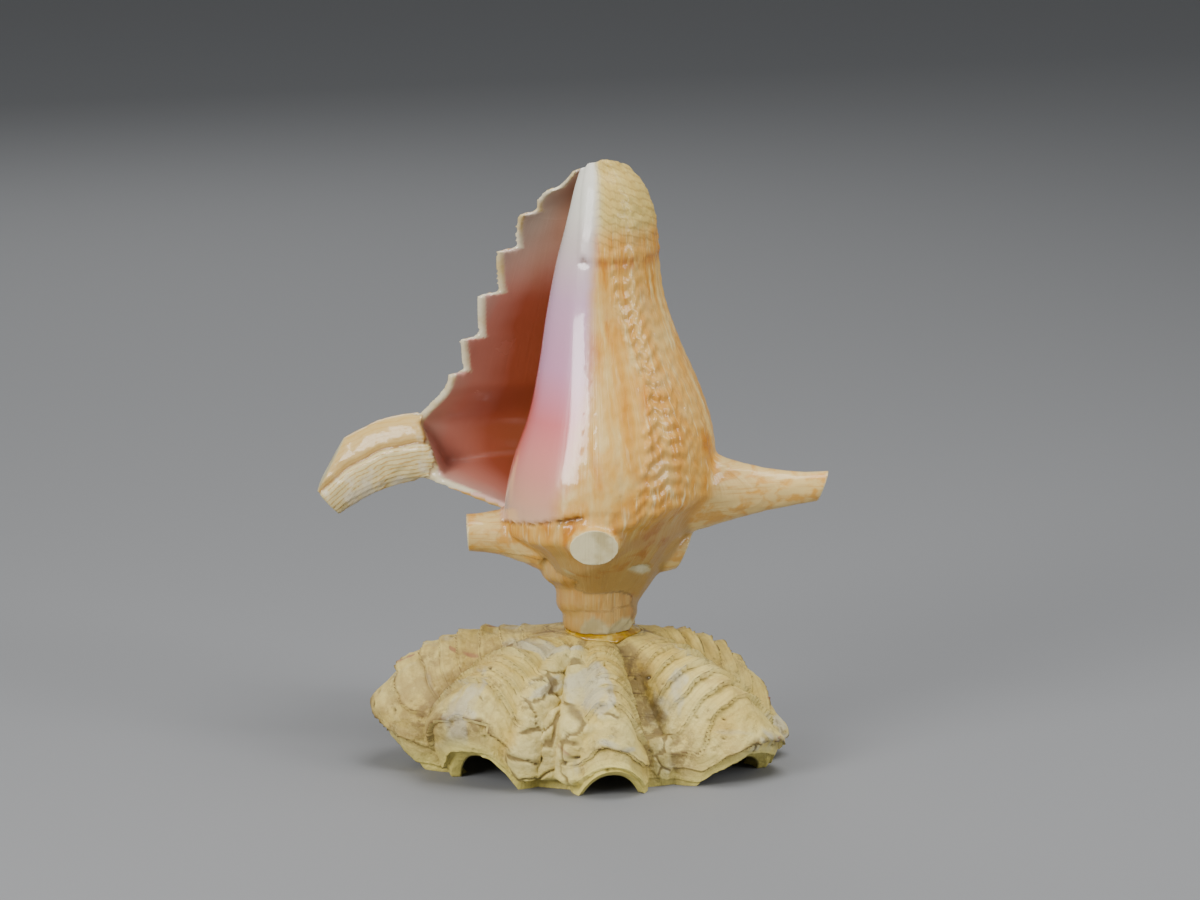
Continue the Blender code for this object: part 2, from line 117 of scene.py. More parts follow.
# flats ground into the shell: centre (azimuth, radius, height), which way each faces (azimuth,
# rise), and how far the wheel reached
FLATS = [
    ((-89, 56.5, 53), (-87, 2), 19),
    ((183, 61.5, 48.5), (180, -4), 20),
    ((4, 45.5, 38), (2, -24), 17),
    ((92, 48.0, 41), (92, 4), 16),
    ((87, 92.0, 67), (87, 3), 16),
    ((2, 114.2, 71), (2, -20), 14),
    ((150, 151.5, 66), (180, 27), 26),
    ((149, 157.5, 45), (180, -40), 24),
    ((-44, 27.5, 25), (-44, -18), 13),
    ((240, 25.5, 25), (238, -24), 12),
    ((205, 21.5, 12), (205, -12), 11),
    ((265, 18.6, 9), (262, -14), 12),
    ((-50, 21.5, 8), (-50, -22), 13),
    ((-8, 25.0, 12), (-6, -26), 14),
    ((60, 24.0, 14), (60, -20), 13),
    ((120, 20.5, 12), (120, -16), 12),
    ((40, 33.0, 30), (40, -15), 12),
    ((140, 30.0, 30), (140, -15), 12),
]


# ---------------------------------------------------------------- small mathematics
def smooth_interp(x, xs, ys):
    """Cubic curve through the points (xs, ys), flat beyond its ends."""
    x = np.clip(np.asarray(x, float), xs[0], xs[-1])
    xs = np.asarray(xs, float)
    ys = np.asarray(ys, float)
    tangents = np.gradient(ys, xs)
    i = np.clip(np.searchsorted(xs, x) - 1, 0, len(xs) - 2)
    width = xs[i + 1] - xs[i]
    t = (x - xs[i]) / width
    return (
        (2 * t**3 - 3 * t**2 + 1) * ys[i]
        + (t**3 - 2 * t**2 + t) * width * tangents[i]
        + (3 * t**2 - 2 * t**3) * ys[i + 1]
        + (t**3 - t**2) * width * tangents[i + 1]
    )


def soft_min(a, b, width):
    return (a + b - np.sqrt((a - b) ** 2 + width**2)) / 2


def smoothstep(x):
    x = np.clip(x, 0, 1)
    return x * x * (3 - 2 * x)


def rise(x, low, high):
    return smoothstep((x - low) / (high - low))


def polar(angle, radius, height):
    turn = np.radians(angle)
    return np.stack([radius * np.cos(turn), radius * np.sin(turn), height], axis=-1)


def facing(angle, climb):
    """Unit vector towards this azimuth, climbing by this many degrees."""
    return polar(angle, math.cos(math.radians(climb)), math.sin(math.radians(climb)))


def crossing(difference, low, high):
    """Height where difference(height) turns positive, by halving."""
    low = np.array(low, float)
    high = np.array(high, float)
    for _ in range(40):
        middle = (low + high) / 2
        positive = difference(middle) > 0
        high = np.where(positive, middle, high)
        low = np.where(positive, low, middle)
    return high


def fractal(points, octaves=3, shift=0.0):
    """Smooth noise of about -1 to 1 at each of the points."""
    drift = Vector((shift, -shift, 0.5 * shift))
    return np.array([noise.fractal(Vector(p) + drift, 1.0, 2.0, octaves) for p in points])


def cells(points, shift=0.0):
    """Distance to the nearest scattered seed, and how much farther the next one is."""
    drift = Vector((shift, shift, -shift))
    found = np.array([noise.voronoi(Vector(p) + drift)[0][:2] for p in points])
    return found[:, 0], found[:, 1] - found[:, 0]


# ---------------------------------------------------------------- meshes
def add_grid(bm, columns, rows, place, **marks):
    """Add a grid of columns x rows cells and put its points where place(i, j) says (mm).

    Each mark is a function of j, kept with the points as a layer of that name.
    """
    for name in marks:
        if bm.verts.layers.float.get(name) is None:
            bm.verts.layers.float.new(name)
    grid = bmesh.ops.create_grid(bm, x_segments=columns, y_segments=rows, size=0.5)["verts"]
    i = np.array([round((v.co.x + 0.5) * columns) for v in grid])
    j = np.array([round((v.co.y + 0.5) * rows) for v in grid])
    for vert, point in zip(grid, place(i, j)):
        vert.co = point * MM
    for name, mark in marks.items():
        layer = bm.verts.layers.float[name]
        for vert, value in zip(grid, mark(j)):
            vert[layer] = value


def close_mesh(bm):
    bmesh.ops.remove_doubles(bm, verts=bm.verts, dist=1e-7)
    bmesh.ops.holes_fill(bm, edges=[e for e in bm.edges if e.is_boundary], sides=0)
    bmesh.ops.recalc_face_normals(bm, faces=bm.faces)


def make_piece(name, bm):
    mesh = bpy.data.meshes.new(name)
    bm.to_mesh(mesh)
    bm.free()
    piece = bpy.data.objects.new(name, mesh)
    bpy.context.scene.collection.objects.link(piece)
    mesh.shade_smooth()
    return piece


def read_points(mesh):
    """Positions in mm and normals of a mesh's points."""
    places = np.empty(len(mesh.vertices) * 3)
    normals = np.empty(len(mesh.vertices) * 3)
    mesh.vertices.foreach_get("co", places)
    mesh.vertex_normals.foreach_get("vector", normals)
    return places.reshape(-1, 3) / MM, normals.reshape(-1, 3)


def write_points(mesh, places):
    mesh.vertices.foreach_set("co", (places * MM).ravel())
    mesh.update()


def write_mask(mesh, name, values):
    layer = mesh.attributes.new(name, "FLOAT", "POINT")
    layer.data.foreach_set("value", np.asarray(values, np.float32))


def apply_modifiers(piece):
    graph = bpy.context.evaluated_depsgraph_get()
    applied = bpy.data.meshes.new_from_object(piece.evaluated_get(graph))
    piece.modifiers.clear()
    piece.data = applied
    applied.shade_smooth()


def strip(bm, first, second):
    """Faces between two rows of points that match one to one."""
    for a, b, c, d in zip(first[:-1], first[1:], second[1:], second[:-1]):
        corners = []
        for point in (a, b, c, d):
            if not corners or np.linalg.norm(point - corners[-1]) > 1e-4:
                corners.append(point)
        if np.linalg.norm(corners[0] - corners[-1]) < 1e-4:
            corners.pop()
        if len(corners) > 2:
            bm.faces.new([bm.verts.new(point * MM) for point in corners])


def zip_strip(bm, first, second):
    """Triangles between two rows of points of unequal count, closest pairs first."""
    i = j = 0
    while i < len(first) - 1 or j < len(second) - 1:
        step_first = j == len(second) - 1 or (
            i < len(first) - 1
            and np.linalg.norm(first[i + 1] - second[j]) < np.linalg.norm(first[i] - second[j + 1])
        )
        new = first[i + 1] if step_first else second[j + 1]
        bm.faces.new([bm.verts.new(point * MM) for point in (first[i], second[j], new)])
        i, j = (i + 1, j) if step_first else (i, j + 1)


# ---------------------------------------------------------------- conch: its form
def shoulder(angle):
    radius = smooth_interp(angle, SHOULDER_ANGLES, SHOULDER_RADII)
    height = smooth_interp(angle, SHOULDER_ANGLES, SHOULDER_HEIGHTS)
    slope = np.interp(angle, SHOULDER_ANGLES, RAMP_SLOPES)
    return radius, height, slope


def profile(angle, share):
    """Radius as a share of the shoulder's, blended between three whole profiles."""
    t = np.clip((np.asarray(angle, float) - 180) / 180, 0, (LIP_ANGLE - 180) / 180)
    end = (LIP_ANGLE - 180) / 180
    inner = (t - 1) * (t - end) / end
    right = t * (t - end) / (1 - end)
    lip = t * (t - 1) / (end * (end - 1))
    return (
        inner * smooth_interp(share, PROFILE_HEIGHTS, PROFILE_INNER)
        + right * smooth_interp(share, PROFILE_HEIGHTS, PROFILE_RIGHT)
        + lip * smooth_interp(share, PROFILE_HEIGHTS, PROFILE_LIP)
    )


def height_share(angle, height):
    """0 at the whorl's shoulder, 1 at the siphonal end."""
    shoulder_height = shoulder(angle)[1]
    return (height - shoulder_height) / (TIP - shoulder_height)


def whorl_radius(angle, height):
    """Outer radius of the one whorl that lies at this growth angle."""
    radius, shoulder_height, slope = shoulder(angle)
    spout = LIP_SPOUT * rise(angle, LIP_ANGLE - SPOUT_TURN, LIP_ANGLE)
    body = radius * profile(angle, height_share(angle, height)) + spout * (1 - rise(height, 84, 110))
    below = (shoulder_height - height) / 18
    hollow = RAMP_HOLLOW * np.sin(np.pi * np.clip(below, 0, 1)) * (1 - rise(angle, 400, 440))
    ramp = radius + spout - (shoulder_height - height) / slope - hollow
    return soft_min(body, ramp, SHOULDER_ROUNDING)


def outer_radius(angle, height):
    """Outer radius of the whole shell as seen at this growth angle: the widest whorl there."""
    foot = SPIRE_FOOT_RADIUS + SPIRE_FOOT_OFFSET * np.cos(np.radians(angle))
    found = foot * (1 - smoothstep((height - 15) / 40))
    for turns in range(4):
        found = np.maximum(found, whorl_radius(np.asarray(angle) - 360 * turns, height))
    return found


def own_growth(angle, height):
    """Growth angle of the whorl whose surface shows at this angle and height."""
    turns = np.zeros(np.shape(angle))
    widest = whorl_radius(angle, height)
    for turn in range(1, 4):
        radius = whorl_radius(np.asarray(angle) - 360 * turn, height)
        turns = np.where(radius > widest, turn, turns)
        widest = np.maximum(widest, radius)
    return angle - 360 * turns


def inner_radius(angle, height):
    """Radius of the inside of the body whorl's wall, a parallel curve of its outside."""
    wall = WALL + (WALL_AT_TIP - WALL) * smoothstep((height - 150) / 60)
    found = np.full(np.broadcast(angle, height).shape, 1000.0)
    for lean in np.linspace(-1, 1, 9):
        outside = whorl_radius(angle, height - wall * lean)
        found = np.minimum(found, outside - wall * math.sqrt(1 - lean**2))
    return found


def top_height(angle):
    return smooth_interp(angle, TOP_ANGLES, TOP_HEIGHTS)


def tooth_cut(height):
    """How many degrees the saw took off the lip at this height."""
    cut = np.zeros_like(height, dtype=float)
    for tip, below, depth in zip(TOOTH_TIPS, TOOTH_TIPS[1:], TOOTH_DEPTHS):
        inside = (height <= tip) & (height > below)
        cut = np.where(inside, depth * (tip - height) / (tip - below), cut)
    return cut


def hollow_floor(angle):
    """Height where the body whorl's inside meets the whorl before it."""
    angle = np.asarray(angle, float)
    return crossing(
        lambda z: inner_radius(angle, z) - outer_radius(angle - 360, z),
        np.full(angle.shape, 22.0),
        np.full(angle.shape, 110.0),
    )


def even_steps(low, high, step):
    return list(np.linspace(low, high, max(2, round((high - low) / step)), endpoint=False))


def lip_rows():
    """Heights of the grid's rows below the hollow, and shares of the way up beside it."""
    suture = float(
        crossing(lambda z: whorl_radius(LIP_ANGLE, z) - outer_radius(INNER_LIP_ANGLE, z), 40, 70)
    )
    floor = float(hollow_floor(np.array([LIP_ANGLE]))[0])
    top = float(top_height(LIP_ANGLE))
    low = even_steps(0, suture, GRID_STEP) + [suture, floor]
    high = even_steps(floor, TOOTH_TIPS[-1], GRID_STEP)
    for tip, below in zip(TOOTH_TIPS[-2::-1], TOOTH_TIPS[:0:-1]):
        high += [below] + even_steps(below + 0.3, tip, GRID_STEP)
    high.append(top)
    return np.array(low), (np.array(high) - floor) / (top - floor)


# ---------------------------------------------------------------- conch: its mesh
def conch_body():
    """The coiled body as one closed mesh, with its hollow and its saw-toothed lip."""
    low, shares = lip_rows()
    floor = low[-1]
    floor_row = len(low) - 1
    suture_row = floor_row - 1
    last_row = floor_row + len(shares) - 1

    def outside(i, j):
        angle = INNER_LIP_ANGLE + 360 * i / COLUMNS
        share = shares[np.clip(j - floor_row, 0, None)]
        height = np.where(j <= floor_row, low[np.clip(j, 0, floor_row)], floor)
        height = height + share * (top_height(angle) - floor)
        near_lip = smoothstep((angle - (LIP_ANGLE - 50)) / 50)
        angle = angle - near_lip * tooth_cut(height)
        return polar(angle, outer_radius(angle, height), height)

    def inside(i, j):
        outward = i <= POCKET_COLUMNS
        step = np.where(outward, i, 2 * POCKET_COLUMNS + 1 - i) / POCKET_COLUMNS
        angle = LIP_ANGLE + (POCKET_ANGLE - LIP_ANGLE) * step
        bottom = hollow_floor(angle)
        own_angle = np.where(outward, angle, angle - 360)
        height = bottom + shares[j] * (top_height(own_angle) - bottom)
        notch = np.where(outward, (1 - smoothstep(step * 2)) * tooth_cut(height), 0)
        wall = inner_radius(angle - notch, height)
        column = outer_radius(angle - 360, height)
        radius = np.where(outward & (j > 0), wall, column)
        return polar(own_angle - notch, radius, height)

    bm = bmesh.new()
    add_grid(bm, COLUMNS, last_row, outside)
    add_grid(bm, 2 * POCKET_COLUMNS + 1, len(shares) - 1, inside)
    rows = np.arange(suture_row, last_row + 1)
    outer_edge = outside(np.full(rows.shape, COLUMNS), rows)
    inner_edge = inside(np.zeros(len(shares), int), np.arange(len(shares)))
    suture_point = outside(np.array([0]), np.array([suture_row]))
    strip(bm, outer_edge, np.concatenate([suture_point, inner_edge]))
    steps = np.arange(0, POCKET_COLUMNS + 1)
    top_inner = inside(steps, np.full(steps.shape, len(shares) - 1))
    first_column = math.ceil((POCKET_ANGLE - INNER_LIP_ANGLE) * COLUMNS / 360)
    whole = np.arange(first_column, COLUMNS + 1)[::-1]
    zip_strip(bm, outside(whole, np.full(whole.shape, last_row)), top_inner)
    close_mesh(bm)
    return bm


def spine(root, tip, droop, half_heights, half_widths):
    """A tapered spine, flared where it leaves the shoulder, from inside the wall to its end."""
    start = polar(*map(float, root))
    end = polar(*map(float, tip))
    along = (end - start) / np.linalg.norm(end - start)
    side = np.cross([0, 0, 1.0], along)
    side /= np.linalg.norm(side)
    up = np.cross(along, side)

    def size(share, sizes):
        at_root, after_flare, at_tip = sizes
        taper = (after_flare - at_tip) * (1 - share)
        flare = (at_root - after_flare) * (1 - share) ** 2.2
        return at_tip + taper + flare

    def place(i, j):
        turn = 2 * np.pi * i / SPINE_SIDES
        share = (j / SPINE_RINGS)[:, None]
        centre = start + (end - start) * share
        centre[:, 2] += droop * 4 * (share * (1 - share))[:, 0]
        wide = np.cos(turn)[:, None] * size(share, half_widths)
        tall = np.sin(turn)[:, None] * size(share, half_heights)
        return centre + wide * side + tall * up

    bm = bmesh.new()
    add_grid(bm, SPINE_SIDES, SPINE_RINGS, place)
    close_mesh(bm)
    return bm


def along_spine(name, places):
    """Share of the way along a spine, and how high up its section, -1 to 1, at each point."""
    root, tip, droop, half_heights, _ = SPINES[name]
    start = polar(*map(float, root))
    end = polar(*map(float, tip))
    length = np.linalg.norm(end - start)
    share = (places - start) @ (end - start) / length**2
    within = np.clip(share, 0, 1)
    centre = start[2] + (end - start)[2] * within + droop * 4 * within * (1 - within)
    return share, (places[:, 2] - centre) / (half_heights[2] + 1.0)


def grind_flats(places):
    """Press what stands beyond each ground flat back onto it, and say which points lie on one."""
    ground = np.zeros(len(places))
    for centre, direction, reach in FLATS:
        middle = polar(*map(float, centre))
        normal = facing(*map(float, direction))
        offset = places - middle
        beyond = offset @ normal
        lateral = np.linalg.norm(offset - beyond[:, None] * normal, axis=1)
        cut = (beyond > 0) & (beyond < 14) & (lateral < reach)
        places[cut] -= beyond[cut, None] * normal
        ground = np.maximum(ground, rise(beyond, -0.6, 0.2) * (beyond < 14) * (lateral < reach))
    return ground


def conch_masks(places):
    """Where each point lies on the shell: growth angle, profile share and which surface."""
    turns = np.arange(POCKET_ANGLE - 10, LIP_ANGLE + 1, 1.0)
    floors = hollow_floor(turns)
    azimuth = np.degrees(np.arctan2(places[:, 1], places[:, 0])) % 360
    angle = np.where(azimuth < INNER_LIP_ANGLE, azimuth + 360, azimuth)
    height = places[:, 2]
    radius = np.hypot(places[:, 0], places[:, 1])
    outer = outer_radius(angle, height)
    inner = inner_radius(angle, height)
    reached = (angle > POCKET_ANGLE - 4) & (height > np.interp(angle, turns, floors) - 1.5)
    inside = reached & (radius < (outer + inner) / 2)
    column = outer_radius(angle - 360, height)
    on_column = inside & (np.abs(radius - column) < np.abs(radius - inner))
    growth = np.where(inside, angle, own_growth(angle, height))
    growth = np.where(on_column, angle - 360, growth)
    return angle, height, radius, outer, inside.astype(float), on_column.astype(float), growth


def make_conch():
    """The conch: body and spines fused, ground, then given its growth ripples and cords."""
    shell = make_piece("conch", conch_body())
    joined = bmesh.new()
    joined.from_mesh(shell.data)
    for sizes in SPINES.values():
        extra = spine(*sizes)
        scrap = bpy.data.meshes.new("scrap")
        extra.to_mesh(scrap)
        extra.free()
        joined.from_mesh(scrap)
        bpy.data.meshes.remove(scrap)
    joined.to_mesh(shell.data)
    joined.free()
    fuse = shell.modifiers.new("fuse", "REMESH")
    fuse.mode = "VOXEL"
    fuse.voxel_size = VOXEL * MM
    apply_modifiers(shell)
    soften(shell.data, 2)
    finish_conch_surface(shell.data)
    return shell


def soften(mesh, times):
    bm = bmesh.new()
    bm.from_mesh(mesh)
    for _ in range(times):
        bmesh.ops.smooth_vert(
            bm, verts=bm.verts, factor=0.5, use_axis_x=True, use_axis_y=True, use_axis_z=True
        )
    bm.to_mesh(mesh)
    bm.free()


def wander(first, second, scale, octaves=3):
    """Smooth noise over two coordinates, stretched by a scale for each."""
    layer = first * 0 + scale[0]
    return fractal(np.stack([first / scale[0], second / scale[1], layer], axis=-1), octaves)


def band(x, centre, half_width):
    """1 at the centre, fading to nothing over about two half widths."""
    return np.exp(-(((x - centre) / half_width) ** 2))


def finish_conch_surface(mesh):
    """Raise the shell's relief, grind its flats, and keep a mask for each kind of surface."""
    places, normals = read_points(mesh)
    angle, height, radius, outer, inside, on_column, growth = conch_masks(places)
    share = height_share(growth, height)
    outside = 1 - inside
    spine = outside * rise(radius - outer, 1.0, 4.5)
    lip_share, lip_lobe = along_spine("lip", places)
    on_lip_spine = spine * (lip_share > -0.1) * (angle < 200) * (radius > 85)

    # the glazed callus, its wavy ridge, and the suture under it
    wave = wander(height, angle * 0, (7.0, 1.0))
    callus_end = np.interp(height, [60, 95, 125, 170, 232], [247, 258, 267, 269, 281]) + 1.5 * wave
    suture = np.interp(angle, [140, 200, 233, 251, 266, 285], [54, 57, 61.5, 65, 68.5, 70])
    suture = suture + 0.7 * wander(angle, angle * 0, (5.0, 1.0))
    over_suture = rise(height, suture - 0.5, suture + 0.5)
    body = outside * (1 - spine)
    callus = body * rise(callus_end - angle, -8, 9) * over_suture * (angle < 330)
    glaze_end = np.interp(height, [70, 93, 130, 179, 200, 232], [292, 299, 309, 290, 284, 280])
    glaze_end = glaze_end + 2.2 * wave + 1.2 * wander(height, angle * 0, (2.4, 1.0))
    glaze = body * rise(glaze_end - angle, -1, 1) * rise(height, 62, 74) * (angle < 330)
    fold = band(angle, glaze_end + 1.5, 1.8) * rise(height, 84, 92) * (1 - rise(height, 186, 192))

    # what is sharp: the lip's edge, its crack and the broken slot
    lip = (LIP_ANGLE - tooth_cut(height) - angle) * np.radians(1) * radius
    edge = (angle > 440) * rise(2.6 - lip, 0, 1.0) * (height > 56) * (radius < outer + 3)
    crack = band(height, suture - 0.4, 0.55) * (angle > 175) * (angle < 262) * body
    slot = rise(angle, 249, 250.5) * rise(266 - angle, 0, 1.5)
    slot = slot * band(height, suture - 1.2, 1.3) * body

    # growth ripples and scales, spiral cords, the repaired scar and the canal's folds
    ripple = wander(growth, share, (7.0, 0.8))
    fine = wander(growth, share, (2.3, 0.4), 2)
    whorl = (0.25 + 0.75 * rise(share, -0.12, 0.02)) * (1 - rise(share, 0.86, 0.96))
    rough = body * (1 - callus) * (1 - edge) * (1 - 0.8 * glaze)
    crinkle = rise(angle, 295, 305) * rise(345 - angle, 0, 25) * band(height, 106, 24)
    net = np.abs(wander(growth, share, (4.5, 0.035), 2)) - 0.25
    scar_height = 188.5 + 1.6 * wander(angle, angle * 0, (9.0, 1.0))
    over_scar = rise(height, scar_height - 0.7, scar_height + 0.7)
    scar = over_scar * rise(angle, 250, 254) * rise(400 - angle, 0, 20)
    notch = band(angle, 260, 4.5) * band(height, scar_height, 1.4)
    canal = rise(height, 188, 196) * wander(height + 0.3 * angle, angle, (2.2, 16.0), 2)
    scalloped = band(angle, 296, 34) * band(height, 115, 62)
    cords = np.sin(2 * np.pi * (share * 24 + 0.9 * ripple)) * (0.12 + 0.5 * scalloped)
    lift = rough * whorl * (0.6 * ripple + 0.28 * fine + cords)
    lift += 0.25 * glaze * (1 - callus) * ripple * whorl + rough * crinkle * 1.1 * net
    lift += body * (1.1 * fold + 0.8 * scar - 1.3 * notch) + rough * 0.55 * canal
    ledge = over_suture * (angle < 285) * rise(120 - height, 0, 40)
    lift += body * 0.9 * ledge - 1.5 * crack - 1.8 * slot
    lift -= 0.9 * callus * (1 - rise(height, suture + 2, suture + 9)) * band(angle, 215, 25)

    # the lip spine: two lobes along a seam, the lower one finely ridged
    seam = 0.2 - 0.22 * lip_share + 0.05 * wander(lip_share * 40, lip_share, (6.0, 1.0))
    ridges = np.sin(2 * np.pi * (7.5 * lip_lobe / (1.15 - 0.25 * lip_share)))
    lobes = -1.9 * band(lip_lobe, seam, 0.07) + 0.7 * rise(seam - lip_lobe, 0, 0.15)
    lobes = lobes + 0.3 * ridges * rise(seam - lip_lobe, 0.05, 0.2)
    lobes = lobes + 0.5 * wander(lip_share * 50, lip_lobe, (6, 0.2))
    lift += on_lip_spine * lobes
    other = spine * (1 - on_lip_spine)
    lift += other * 0.4 * wander(radius, height, (14.0, 2.2))
    places = places + lift[:, None] * normals

    ground = grind_flats(places)
    pitted = ground * fractal(places / 2.2, 3, 4.0)
    places = places - (0.35 * np.clip(pitted - 0.1, 0, 1))[:, None] * normals
    write_points(mesh, places + AXIS)
    depth = (LIP_ANGLE + 4 * wander(height, angle, (30.0, 40.0)) - angle) * inside
    for name, values in {
        "growth": growth, "share": share, "inside": inside, "column": on_column, "callus": callus,
        "glaze": glaze, "edge": edge, "ground": ground, "level": height, "turn": angle,
        "depth": depth, "spine": spine, "lip_spine": on_lip_spine, "lobe": lip_lobe - seam,
        "crack": np.clip(crack + slot + 0.8 * notch, 0, 1), "radius": radius,
    }.items():
        write_mask(mesh, name, values)


# ---------------------------------------------------------------- clam valve
CLAM_TOP = 69.6
# how far the valve reaches from its highest point, seen from above
CLAM_LEFT = 106.0
CLAM_RIGHT = 98.0
CLAM_FRONT = 60.0
CLAM_BACK = 56.0
CLAM_WALL = 5.0
OUTLINE_POWER = 1.9
# the valve bulges out beyond the margin that it stands on
CLAM_FOOT_LEFT = 90.0
CLAM_FOOT_RIGHT = 92.0
CLAM_FOOT_FRONT = 63.0
CLAM_FOOT_BACK = 50.0
FOOT_POWER = 1.6
WIDEST_LEFT = 28.0  # height of the widest line
WIDEST_RIGHT = 13.0
WIDEST_SHARE = 0.86
RIB_SWELL = 4.0
VALLEY_DEPTH = 13.0
# ribs, by angle around the highest point seen from above
RIB_ANGLES = [176, -144, -82, -23, 16]
RIB_HALF_WIDTHS = [19, 21, 22, 22, 15]
ARCH_HALF_WIDTHS = [12, 16, 15.5, 17, 5]
ARCH_HEIGHTS = [9.0, 18.0, 14.0, 14.0, 0.0]
CLAM_FRONT_START = -205.0  # the finely divided front runs from here
CLAM_FRONT_END = 35.0  # to here
CLAM_FRONT_SECTORS = 380
CLAM_BACK_SECTORS = 90
CLAM_RINGS = 150
CLAM_UNDER_RINGS = 36
CLAM_EDGE_RINGS = 5


def outline(turn, left, right, front, back, power):
    """Distance in plan from the highest point to a rounded outline with these half widths."""
    across = np.where(np.cos(turn) > 0, right, left)
    deep = np.where(np.sin(turn) > 0, back, front)
    sideways = (np.abs(np.cos(turn)) / across) ** power
    lengthways = (np.abs(np.sin(turn)) / deep) ** power
    return (sideways + lengthways) ** (-1 / power)


def ribs(turn):
    """0 in the valleys to 1 on a rib's crest, and the height of the arch under it."""
    crest = np.zeros_like(turn)
    arch = np.zeros_like(turn)
    for angle, half, arch_half, arch_height in zip(
        RIB_ANGLES, RIB_HALF_WIDTHS, ARCH_HALF_WIDTHS, ARCH_HEIGHTS
    ):
        away = np.abs((np.degrees(turn) - angle + 180) % 360 - 180)
        crest = np.maximum(crest, (1 - np.clip(away / half, 0, 1) ** 2) ** 0.75)
        arch = np.maximum(arch, arch_height * (1 - np.clip(away / arch_half, 0, 1) ** 2.2))
    return crest, arch


def clam_point(turn, share, depth):
    """A point of the valve's skin, this deep under its outside, ribs and arches included."""
    crest, arch = ribs(turn)
    arch = np.clip(arch - 0.6 * depth, 0, None)
    right = (1 + np.cos(turn)) / 2
    over = np.clip(share / WIDEST_SHARE, 0, 1)
    under = np.clip((share - WIDEST_SHARE) / (1 - WIDEST_SHARE), 0, 1)
    full = outline(turn, CLAM_LEFT, CLAM_RIGHT, CLAM_FRONT, CLAM_BACK, OUTLINE_POWER) - depth
    foot = outline(
        turn, CLAM_FOOT_LEFT, CLAM_FOOT_RIGHT, CLAM_FOOT_FRONT, CLAM_FOOT_BACK, FOOT_POWER
    )
    swell = (RIB_SWELL * crest - VALLEY_DEPTH * (1 - crest)) * smoothstep((share - 0.2) / 0.5)
    out = full * over + (foot - depth - full) * under**1.5 + swell
    round_power = 3.2 - 0.7 * right + 1.2 * np.clip(np.sin(turn), 0, 1)
    drop_power = 0.82 + 0.06 * right
    widest = WIDEST_LEFT + (WIDEST_RIGHT - WIDEST_LEFT) * right
    dome = widest + (CLAM_TOP - depth - widest) * (1 - over**round_power) ** drop_power
    dome = dome * (1 - under) + swell * (1 - smoothstep((share - 0.7) / 0.16))
    lifted = arch * share**2.8
    height = lifted + dome * (1 - lifted / CLAM_TOP)
    return np.stack([out * np.cos(turn), out * np.sin(turn), height], axis=-1)


def ring_shares(rings):
    """Shares of the way from the highest point to the margin, closer together near the margin."""
    shares = 1 - (1 - np.linspace(0, 1, rings + 1)) ** 1.45
    shares[0] = 0.01
    return shares


def make_clam():
    """The valve: a folded dome with nested growth scales, crust and pits on its outside."""
    front = np.linspace(CLAM_FRONT_START, CLAM_FRONT_END, CLAM_FRONT_SECTORS + 1)
    back = np.linspace(CLAM_FRONT_END, CLAM_FRONT_START + 360, CLAM_BACK_SECTORS + 1)
    turns = np.radians(np.concatenate([front, back[1:-1], front[:1]]))
    out_shares = ring_shares(CLAM_RINGS)
    under_shares = ring_shares(CLAM_UNDER_RINGS)

    bm = bmesh.new()
    last = len(turns) - 1
    add_grid(
        bm, last, CLAM_RINGS, lambda i, j: clam_point(turns[i], out_shares[j], 0.0),
        out=lambda j: out_shares[j], skin=lambda j: 0 * out_shares[j],
    )
    add_grid(
        bm, last, CLAM_EDGE_RINGS,
        lambda i, j: clam_point(turns[i], 1.0, CLAM_WALL * j / CLAM_EDGE_RINGS),
        out=lambda j: 1.0 + 0 * j, skin=lambda j: j / CLAM_EDGE_RINGS,
    )
    add_grid(
        bm, last, CLAM_UNDER_RINGS, lambda i, j: clam_point(turns[i], under_shares[j], CLAM_WALL),
        out=lambda j: under_shares[j], skin=lambda j: 1.0 + 0 * j,
    )
    close_mesh(bm)
    valve = make_piece("clam_valve", bm)
    finish_clam_surface(valve.data)
    return valve


def read_layer(mesh, name):
    values = np.empty(len(mesh.vertices))
    mesh.attributes[name].data.foreach_get("value", values)
    return values


